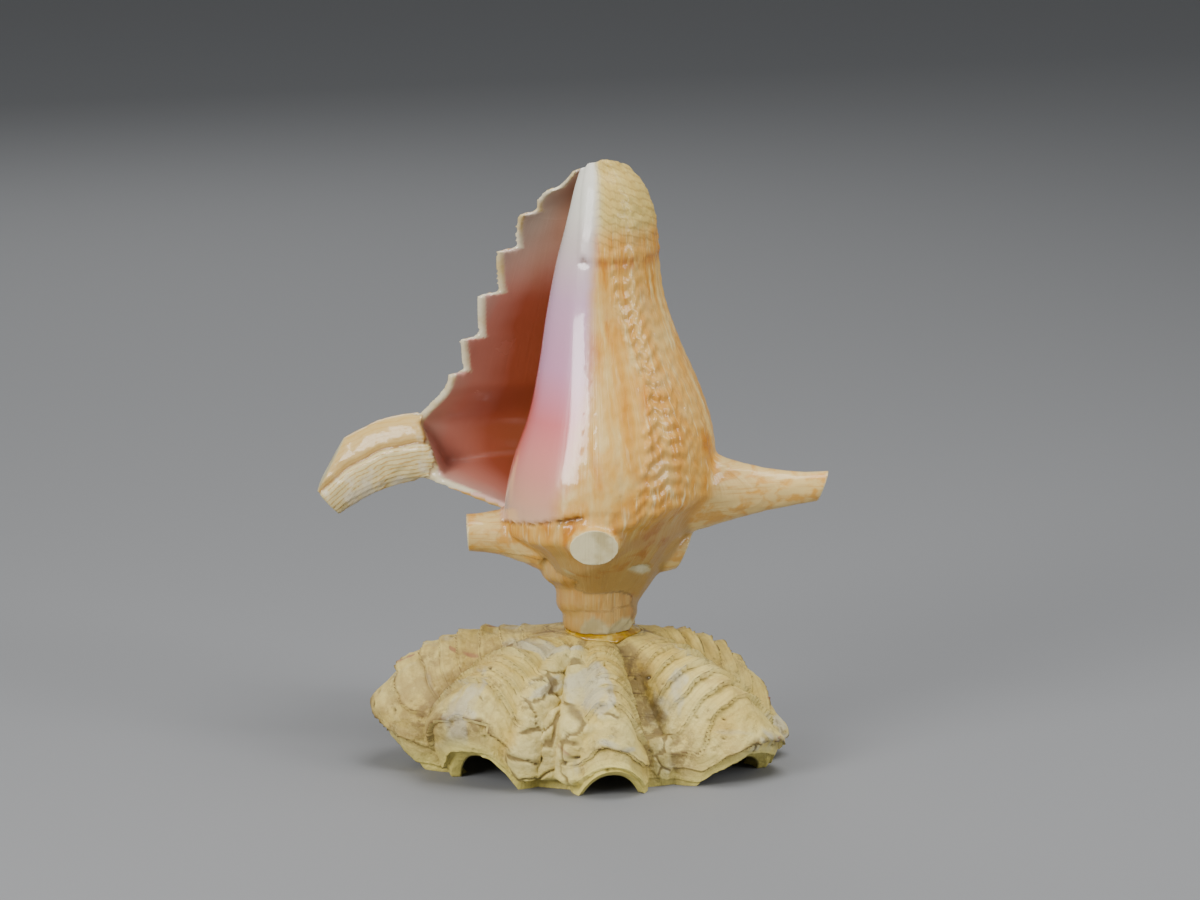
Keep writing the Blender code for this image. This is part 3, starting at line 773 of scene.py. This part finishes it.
def finish_clam_surface(mesh):
    """Raise the valve's scales, crust and pits, and keep a mask for each."""
    places, normals = read_points(mesh)
    turn = np.arctan2(places[:, 1], places[:, 0])
    crest = ribs(turn)[0]
    share = read_layer(mesh, "out")
    height = places[:, 2]
    outside = 1 - rise(read_layer(mesh, "skin"), 0.0, 0.4)
    degrees = np.degrees(turn) % 360

    # growth: coarse overlapping scales, strongest on the ribs, with finer lines between them
    wobble = fractal(places / 30, 2)
    bow = share + 0.13 * crest * rise(1 - share, 0.0, 0.3) * rise(share, 0.15, 0.5)
    steps = 3.0 * bow + 7.5 * bow**2.2 + 0.4 * wobble + 0.08 * fractal(places / 7, 2, 6.0)
    scale_edge = steps % 1
    uneven = np.clip(0.75 + 0.9 * fractal(places / 18, 2, 3.0), 0.1, 1.5)
    scales = (scale_edge**1.8 - 0.35) * rise(share, 0.16, 0.45) * uneven
    lines = np.sin(2 * np.pi * steps * 3.0) * rise(share, 0.3, 0.6) * rise(uneven, 0.4, 1.1)

    # crust: thick plates between the two front ribs, a broken lump right of the middle arch
    plate_zone = rise(degrees, 226, 235) * rise(267 - degrees, 0, 7) * rise(share, 0.3, 0.42)
    plate_zone = plate_zone * (1 - rise(share, 0.95, 0.99))
    lump_zone = band(degrees, 306, 7) * band(share, 0.87, 0.08)
    patchy = fractal(places / 22, 4, 5.0)
    crust = np.clip(rise(patchy + 1.3 * plate_zone + 1.0 * lump_zone, 0.5, 0.75), 0, 1) * outside
    bend = [fractal(places / 9, 2, 2.0), fractal(places / 9, 2, 8.0), wobble]
    _, gap = cells((places + 4.0 * np.stack(bend, axis=-1)) / 19.0, 3.0)
    gaps = 1 - rise(gap, 0.02, 0.1)
    lumps = fractal(places / 9.0, 4, 9.0)
    near, _ = cells(places / 6.0, 5.0)
    pit_zone = rise(fractal(places / 17, 2, 1.0), 0.1, 0.35)
    pits = rise(0.19 - near, 0, 0.06) * np.clip(pit_zone + plate_zone * 0.3, 0, 1) * outside
    lift = outside * (1 - 0.85 * crust) * ((1.0 + 3.4 * crest) * scales + 0.07 * lines)
    lift += crust * (0.8 + 8.0 * plate_zone + 0.6 * lumps) - crust * gaps * (0.5 + 1.2 * plate_zone)
    lift += outside * 0.55 * fractal(places / 8, 4, 2.0) - 1.7 * pits
    keep = rise(height, 0.3, 4.0) * rise(share, 0.24, 0.36)
    places = places + (lift * keep)[:, None] * normals
    places[:, 2] = np.clip(places[:, 2], 0, CLAM_TOP)
    write_points(mesh, places + CLAM_CENTRE)
    for name, values in {
        "ring": steps, "crest": crest, "crust": crust, "pits": pits, "outside": outside,
        "rim": rise(share, 0.9, 1.0), "step_edge": scale_edge, "gaps": gaps * crust,
        "bearing": degrees,
    }.items():
        write_mask(mesh, name, values)


def clam_height(x, y):
    """Height of the valve's outside above a place in plan, near its top."""
    turn = np.arctan2(y - CLAM_CENTRE[1], x - CLAM_CENTRE[0])
    distance = np.hypot(x - CLAM_CENTRE[0], y - CLAM_CENTRE[1])

    def beyond(share):
        point = clam_point(turn, share, 0.0)
        return np.hypot(point[..., 0], point[..., 1]) - distance

    share = crossing(beyond, np.zeros_like(distance), np.full_like(distance, 0.8))
    return clam_point(turn, share, 0.0)[..., 2]


# ---------------------------------------------------------------- resin
BEAD_SIDES = 160
BEAD_RINGS = 40
BEAD_RADIUS = 19.1


def make_bead():
    """Resin squeezed out round the spire's foot, thick under it and thin at an uneven edge."""
    def place(i, j):
        turn = 2 * np.pi * i / BEAD_SIDES
        share = j / BEAD_RINGS
        over = share > 0.5
        run = np.where(over, 2 * (1 - share), 2 * share)
        ooze = 1.1 * np.sin(3 * turn + 0.6) + 0.8 * np.sin(5 * turn + 2) + 1.2 * np.cos(turn + 0.9)
        radius = (BEAD_RADIUS + ooze * 0.6) * np.clip(run, 0.002, 1)
        x = AXIS[0] + SPIRE_FOOT_OFFSET + radius * np.cos(turn)
        y = AXIS[1] + radius * np.sin(turn)
        under = clam_height(x, y) + 0.1
        squeezed = 1 - rise(radius, 14.5, 19.0)
        fillet = under + (AXIS[2] + 0.3 - under) * squeezed + 0.2 * ooze
        top = np.maximum(fillet, under + 0.9 * np.sqrt(np.clip(1 - run**8, 0, 1)))
        return np.stack([x, y, np.where(over, top, under)], axis=-1)

    bm = bmesh.new()
    add_grid(bm, BEAD_SIDES, BEAD_RINGS, place)
    close_mesh(bm)
    return make_piece("resin", bm)


# ---------------------------------------------------------------- materials
RICHNESS = 1.42  # how much farther from grey a colour is set, as the view pales it


def srgb(red, green, blue):
    """Linear colour from a colour chart's values of 0 to 255, made richer."""
    def linear(value):
        value /= 255
        return value / 12.92 if value <= 0.04045 else ((value + 0.055) / 1.055) ** 2.4

    values = [linear(value) for value in (red, green, blue)]
    grey = sum(values) / 3
    return (*(max(0.0, grey + (value - grey) * RICHNESS) for value in values), 1.0)


class Value:
    """A number in a material, so that sums of masks are written as sums."""

    def __init__(self, finish, socket):
        self.finish = finish
        self.socket = socket

    def _math(self, operation, first, second=None):
        values = {0: first} if second is None else {0: first, 1: second}
        made = self.finish.node("ShaderNodeMath", {"operation": operation}, values)
        return Value(self.finish, made.outputs[0])

    def __add__(self, other):
        return self._math("ADD", self, other)

    __radd__ = __add__

    def __sub__(self, other):
        return self._math("SUBTRACT", self, other)

    def __rsub__(self, other):
        return self._math("SUBTRACT", other, self)

    def __mul__(self, other):
        return self._math("MULTIPLY", self, other)

    __rmul__ = __mul__

    def __truediv__(self, other):
        return self._math("DIVIDE", self, other)

    def sine(self):
        return self._math("SINE", self)

    def between(self, low, high):
        """0 below low, 1 above high, smooth between."""
        made = self.finish.node(
            "ShaderNodeMapRange",
            {"interpolation_type": "SMOOTHSTEP"},
            {"Value": self, "From Min": low, "From Max": high},
        )
        return Value(self.finish, made.outputs["Result"])


class Finish:
    """A material on one Principled shader."""

    def __init__(self, name, **fixed):
        self.material = bpy.data.materials.new(name)
        self.material.use_nodes = True
        self.tree = self.material.node_tree
        self.shader = self.tree.nodes["Principled BSDF"]
        for socket, value in fixed.items():
            self.shader.inputs[socket.replace("_", " ")].default_value = value

    def node(self, kind, settings=None, values=None):
        made = self.tree.nodes.new(kind)
        for name, value in (settings or {}).items():
            setattr(made, name, value)
        for name, value in (values or {}).items():
            self.feed(made.inputs[name], value)
        return made

    def feed(self, socket, value):
        if isinstance(value, Value):
            value = value.socket
        if isinstance(value, bpy.types.NodeSocket):
            self.tree.links.new(value, socket)
        elif isinstance(value, tuple) and len(value) == 3:
            socket.default_value = srgb(*value)
        else:
            socket.default_value = value

    def shade(self, name, value):
        self.feed(self.shader.inputs[name], value)

    def mask(self, name):
        made = self.node("ShaderNodeAttribute", {"attribute_name": name})
        return Value(self, made.outputs["Fac"])

    def place(self):
        return self.node("ShaderNodeTexCoord").outputs["Object"]

    def vector(self, x, y, z=0.0):
        return self.node("ShaderNodeCombineXYZ", None, {0: x, 1: y, 2: z}).outputs[0]

    def grain(self, vector, scale, detail=3.0, roughness=0.5, distortion=0.0):
        made = self.node(
            "ShaderNodeTexNoise",
            None,
            {"Vector": vector, "Scale": scale, "Detail": detail, "Roughness": roughness,
             "Distortion": distortion},
        )
        return Value(self, made.outputs["Fac"])

    def mix(self, first, second, factor):
        made = self.node("ShaderNodeMix", {"data_type": "RGBA"})
        self.feed(made.inputs[0], factor)
        self.feed(made.inputs[6], first)
        self.feed(made.inputs[7], second)
        return made.outputs[2]

    def coats(self, base, layers):
        """Paint layers over a base, each a colour and how much of it shows."""
        for colour, factor in layers:
            base = self.mix(base, colour, factor)
        return base

    def ramp(self, factor, stops):
        made = self.node("ShaderNodeValToRGB")
        elements = made.color_ramp.elements
        while len(elements) < len(stops):
            elements.new(0.5)
        for element, (position, colour) in zip(elements, stops):
            element.position = position
            element.color = srgb(*colour)
        self.feed(made.inputs[0], factor)
        return made.outputs[0]

    def bump(self, height, distance, strength=1.0):
        made = self.node(
            "ShaderNodeBump", None, {"Height": height, "Distance": distance, "Strength": strength}
        )
        self.shade("Normal", made.outputs[0])


def lacquered_shell():
    """Tan and cream outside with growth streaks, pink callus, and a red-brown hollow with painted
    shade darkening it inwards and painted light at its lip and canal.
    """
    finish = Finish("lacquered conch", Coat_Roughness=0.08, Coat_IOR=1.5)
    growth, share, inside, column, callus, edge, ground, level, depth, turn, radius = map(
        finish.mask, [
            "growth", "share", "inside", "column", "callus", "edge", "ground", "level", "depth",
            "turn", "radius",
        ]
    )
    spine, lip_spine, lobe, glaze, crack = map(
        finish.mask, ["spine", "lip_spine", "lobe", "glaze", "crack"]
    )
    place = finish.place()

    # the outside: tan with soft blotches along the growth lines and cream flecks on the scales
    flames = finish.grain(finish.vector(growth / 13, share * 4.5), 1.0, 4.0, 0.55, 0.8)
    flecks = finish.grain(finish.vector(growth / 2.6, share * 9, 2.0), 1.0, 3.0, 0.6, 0.5)
    streaks = finish.grain(finish.vector(growth / 1.2, share * 1.8, 4.0), 1.0, 3.0, 0.6)
    patches = finish.grain(place, 42.0, 4.0, 0.6)
    ramp_side = (1 - share.between(-0.1, 0.02)) * (1 - spine)
    low = (1 - level.between(30, 50)) * (1 - spine)
    rust = finish.grain(place, 60.0, 3.0, 0.6, 0.5).between(0.56, 0.68)
    canal = level.between(196, 210)
    oblique = (level / 0.62 + turn * 0.22 + flames * 9).sine().between(0.35, 1.0)
    oblique = oblique * level.between(188, 200) * (1 - spine)
    scar = level.between(182, 187) * (1 - level.between(188, 193)) * turn.between(250, 258)
    skin = finish.ramp(flames, [
        (0.3, (222, 196, 146)), (0.45, (213, 174, 118)),
        (0.56, (206, 160, 104)), (0.7, (190, 134, 78)),
    ])
    skin = finish.coats(skin, [
        ((172, 116, 62), streaks.between(0.52, 0.7) * (1 - glaze) * 0.42),
        ((234, 218, 176), flecks.between(0.56, 0.72) * (0.75 - 0.45 * glaze)),
        ((214, 190, 142), patches.between(0.5, 0.7) * 0.5),
        ((160, 136, 100), ramp_side * 0.75),
        ((158, 134, 96), low * 0.55),
        ((150, 96, 50), rust * ramp_side * 0.6),
        ((202, 188, 132), canal * 0.7),
        ((120, 84, 42), oblique * 0.28),
        ((170, 112, 54), scar * flecks.between(0.35, 0.6) * 0.8),
    ])

    # spines: soft rows of blotches along them, and the lip's with its paler ridged lower lobe
    rows = finish.grain(finish.vector(radius / 7, lobe * 3.2, turn / 30), 1.0, 3.0, 0.5, 0.3)
    fine_rows = finish.grain(finish.vector(radius / 26, level / 1.1, turn / 8), 1.0, 3.0, 0.6)
    horn = finish.coats((222, 200, 152), [
        ((204, 162, 108), rows.between(0.45, 0.66)),
        ((186, 140, 86), fine_rows.between(0.5, 0.7) * 0.5),
    ])
    below_seam = 1 - lobe.between(-0.06, 0.02)
    seam = lobe.between(-0.09, -0.01) * (1 - lobe.between(0.0, 0.07))
    hair = (lobe * 52 + fine_rows * 5).sine().between(0.3, 1.0)
    lip_skin = finish.coats((212, 186, 138), [
        ((228, 214, 172), below_seam),
        ((184, 142, 82), hair * (0.25 + 0.35 * below_seam)),
        ((238, 232, 212), patches.between(0.56, 0.66) * 0.7),
        ((138, 100, 60), seam * 0.6),
    ])
    skin = finish.coats(skin, [(horn, spine * 0.8), (lip_skin, lip_spine)])

    # the callus: coral at its left edge, pink to lilac upwards, white at the canal
    pink = finish.ramp(level / TIP, [
        (0.27, (214, 180, 156)), (0.36, (214, 158, 148)), (0.47, (212, 138, 140)),
        (0.58, (208, 164, 184)), (0.72, (208, 176, 194)), (0.84, (218, 206, 202)),
        (0.92, (230, 228, 218)),
    ])
    coral = turn.between(176, 186) * (1 - turn.between(198, 222))
    coral = coral * level.between(76, 96) * (1 - level.between(112, 135))
    pink = finish.mix(pink, (206, 108, 104), coral * 0.7)
    outside = finish.mix(skin, pink, callus)

    # the hollow: pale at the lip and in the canal and red-brown inwards, as the shell is; painted
    # shade darkens it further inwards, and painted light pales the lip and the canal where they lie
    # in shadow
    cloud = finish.grain(place, 16.0, 2.0, 0.5)
    deep = finish.ramp(depth / 115 + cloud * 0.08 - 0.04, [
        (0.0, (222, 192, 180)), (0.08, (198, 146, 134)), (0.18, (152, 92, 78)),
        (0.34, (112, 58, 44)), (0.7, (84, 38, 26)),
    ])
    # painted shade in the lower, deeper part of the hollow
    lower_hollow_shade = (1 - level.between(70, 118)) * depth.between(12, 55)
    deep = finish.coats(deep, [
        ((112, 74, 50), lower_hollow_shade * 0.6),
        # the canal end of the hollow: pale cream of its own, lightened further as painted light
        # against the shadow there
        ((186, 156, 138), level.between(150, 205) * 0.8),
        ((226, 216, 202), level.between(150, 215) * (1 - depth.between(6, 34))),
        (pink, column * (1 - depth.between(4, 60))),
    ])
    pale = finish.mix((230, 222, 198), (208, 190, 150), patches.between(0.4, 0.65))
    stone = finish.mix((212, 206, 176), (176, 166, 134), patches.between(0.45, 0.62))
    colour = finish.coats(outside, [
        (deep, inside), (pale, edge), (stone, ground * 0.9), ((110, 74, 42), crack * 0.85),
    ])
    finish.shade("Base Color", colour)

    smooth = (callus + inside + glaze * 0.5).between(0.2, 0.9)
    finish.shade("Roughness", 0.42 - 0.2 * smooth + 0.08 * patches + 0.15 * canal)
    lacquer = (0.5 + 0.4 * smooth - 0.3 * edge) * (1 - 0.6 * canal) * (1 - 0.5 * ground)
    finish.shade("Coat Weight", lacquer)
    raw = (1 - smooth * 0.85) * (1 - edge)
    sand = finish.grain(place, 260.0, 4.0, 0.6) * (0.25 + 0.5 * canal)
    ripples = streaks * 0.6 + flecks * 0.5 + sand
    finish.bump(ripples * raw + finish.grain(place, 60.0, 2.0) * 0.08, 0.0009, 0.8)
    return finish.material


def chalky_shell():
    """Cream valve with growth grooves, chalky crust, grey patches, yellow-green rim and pits, and
    painted shade on its left side.
    """
    finish = Finish("chalky clam", Coat_Roughness=0.3)
    ring, crest, crust, gaps, bearing, pits, outside, rim, step_edge = map(
        finish.mask,
        ["ring", "crest", "crust", "gaps", "bearing", "pits", "outside", "rim", "step_edge"],
    )
    place = finish.place()
    mottle = finish.grain(place, 26.0, 5.0, 0.6)
    fine = finish.grain(place, 130.0, 5.0, 0.65)
    powder = finish.grain(place, 420.0, 4.0, 0.7)

    streak = finish.grain(finish.vector(bearing / 7, ring * 0.5), 1.0, 4.0, 0.6)
    groove = step_edge.between(0.86, 1.0) + 1 - step_edge.between(0.0, 0.1)
    fine_lines = (ring * (6 * math.pi)).sine()
    grey = finish.grain(place, 30.0, 3.0, 0.6, 0.6).between(0.58, 0.66)
    # painted shade: darkens the valve's left side, unevenly, where it lies out of the light
    painted_left_shade = bearing.between(165, 190) * (1 - bearing.between(200, 228))
    stain = finish.grain(place, 44.0, 2.0, 0.6, 0.8).between(0.68, 0.72)
    dirt = finish.grain(place, 75.0, 6.0, 0.75).between(0.55, 0.68)
    valley = (1 - crest.between(0.1, 0.6)) * (1 - crust * 0.8) * (1 - rim * 0.6)
    chalk = finish.mix((226, 214, 166), (206, 192, 142), fine.between(0.42, 0.62))
    colour = finish.ramp(mottle, [
        (0.3, (186, 160, 104)), (0.45, (214, 196, 138)), (0.68, (224, 212, 160)),
    ])
    colour = finish.coats(colour, [
        ((168, 146, 104), streak.between(0.5, 0.68) * 0.5),
        ((100, 82, 58), groove * (fine.between(0.3, 0.5) * 0.75 + 0.25)),
        ((160, 140, 98), fine_lines.between(0.2, 1.0) * 0.22),
        (chalk, crust * 0.85),
        ((206, 206, 194), grey * (1 - rim) * 0.5),
        # painted shade over the left side
        ((150, 128, 92), painted_left_shade * (0.15 + 0.5 * fine.between(0.35, 0.6))),
        ((224, 214, 150), rim * 0.75),
        ((138, 84, 84), stain * (1 - rim) * 0.6),
        ((112, 94, 68), dirt * (1 - rim * 0.7) * 0.6),
        ((124, 106, 78), valley * fine.between(0.36, 0.54) * 0.75),
        ((96, 76, 52), gaps.between(0.2, 0.9) * 0.7),
        ((66, 54, 42), pits * 0.95),
    ])
    under = finish.mix((226, 222, 206), (208, 200, 176), mottle)
    colour = finish.mix(under, colour, (outside + rim).between(0.3, 0.8))
    finish.shade("Base Color", colour)
    finish.shade("Roughness", 0.62 + 0.2 * crust - 0.1 * rim)
    finish.bump(fine * 0.9 + powder * 0.5, 0.0016, 1.0)
    return finish.material


def amber_resin():
    """Yellowed resin, clouded."""
    finish = Finish("amber resin", Coat_Weight=0.8, Coat_Roughness=0.05)
    cloud = finish.grain(finish.place(), 120.0, 3.0, 0.6)
    colour = finish.ramp(cloud, [
        (0.35, (142, 108, 50)), (0.52, (182, 150, 80)), (0.68, (214, 196, 140)),
    ])
    finish.shade("Base Color", colour)
    finish.shade("Roughness", 0.12 + 0.1 * cloud)
    finish.bump(finish.grain(finish.place(), 240.0, 2.0), 0.0004, 0.6)
    return finish.material


# ---------------------------------------------------------------- studio
def add_area(name, place, target, size, power, colour=(1, 1, 1)):
    light = bpy.data.lights.new(name, "AREA")
    light.shape = "RECTANGLE"
    light.size, light.size_y = size
    light.energy = power
    light.color = colour
    lamp = bpy.data.objects.new(name, light)
    bpy.context.scene.collection.objects.link(lamp)
    lamp.location = place
    direction = Vector(target) - Vector(place)
    lamp.rotation_euler = direction.to_track_quat("-Z", "Y").to_euler()


def make_studio():
    bm = bmesh.new()
    bmesh.ops.create_grid(bm, x_segments=1, y_segments=1, size=3.0)
    floor = make_piece("floor", bm)
    paper = Finish("pale paper", Roughness=0.9)
    paper.shade("Base Color", (0.23, 0.234, 0.241, 1))
    floor.data.materials.append(paper.material)
    world = bpy.data.worlds.new("studio")
    world.use_nodes = True
    world.node_tree.nodes["Background"].inputs["Color"].default_value = (0.62, 0.64, 0.66, 1)
    world.node_tree.nodes["Background"].inputs["Strength"].default_value = 0.32
    bpy.context.scene.world = world
    middle = (0.0, 0.0, 0.16)
    add_area("window", (-0.98, -1.0, 0.74), middle, (0.62, 0.8), 23.0, (1.0, 0.99, 0.97))
    add_area("ceiling", (0.3, -0.1, 1.4), middle, (0.9, 0.9), 17.0)
    add_area("right fill", (1.25, -0.75, 0.7), middle, (0.3, 0.9), 9.0)
    add_area("back fill", (-0.4, 1.5, 0.9), middle, (1.0, 0.8), 6.0)


CAMERA_DISTANCE = 3.0  # metres
CAMERA_ELEVATION = math.radians(13)
CAMERA_TARGET = (3.9, 0.0, 89.5)  # mm from the foot of the coil axis


def make_camera():
    camera = bpy.data.objects.new("camera", bpy.data.cameras.new("camera"))
    bpy.context.scene.collection.objects.link(camera)
    target = Vector((AXIS + CAMERA_TARGET) * MM)
    backwards = Vector((0, -math.cos(CAMERA_ELEVATION), math.sin(CAMERA_ELEVATION)))
    camera.location = target + CAMERA_DISTANCE * backwards
    camera.rotation_euler = (target - camera.location).to_track_quat("-Z", "Y").to_euler()
    camera.data.sensor_width = 36.0
    camera.data.lens = 182.7
    bpy.context.scene.camera = camera


def dress(piece, material, node):
    piece.data.materials.clear()
    piece.data.materials.append(material)
    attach(piece, "root")
    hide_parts(node)


make_camera()
dress(make_conch(), lacquered_shell(), "conch_shell")
dress(make_clam(), chalky_shell(), "clam_shell")
dress(make_bead(), amber_resin(), "glue_bead")
make_studio()
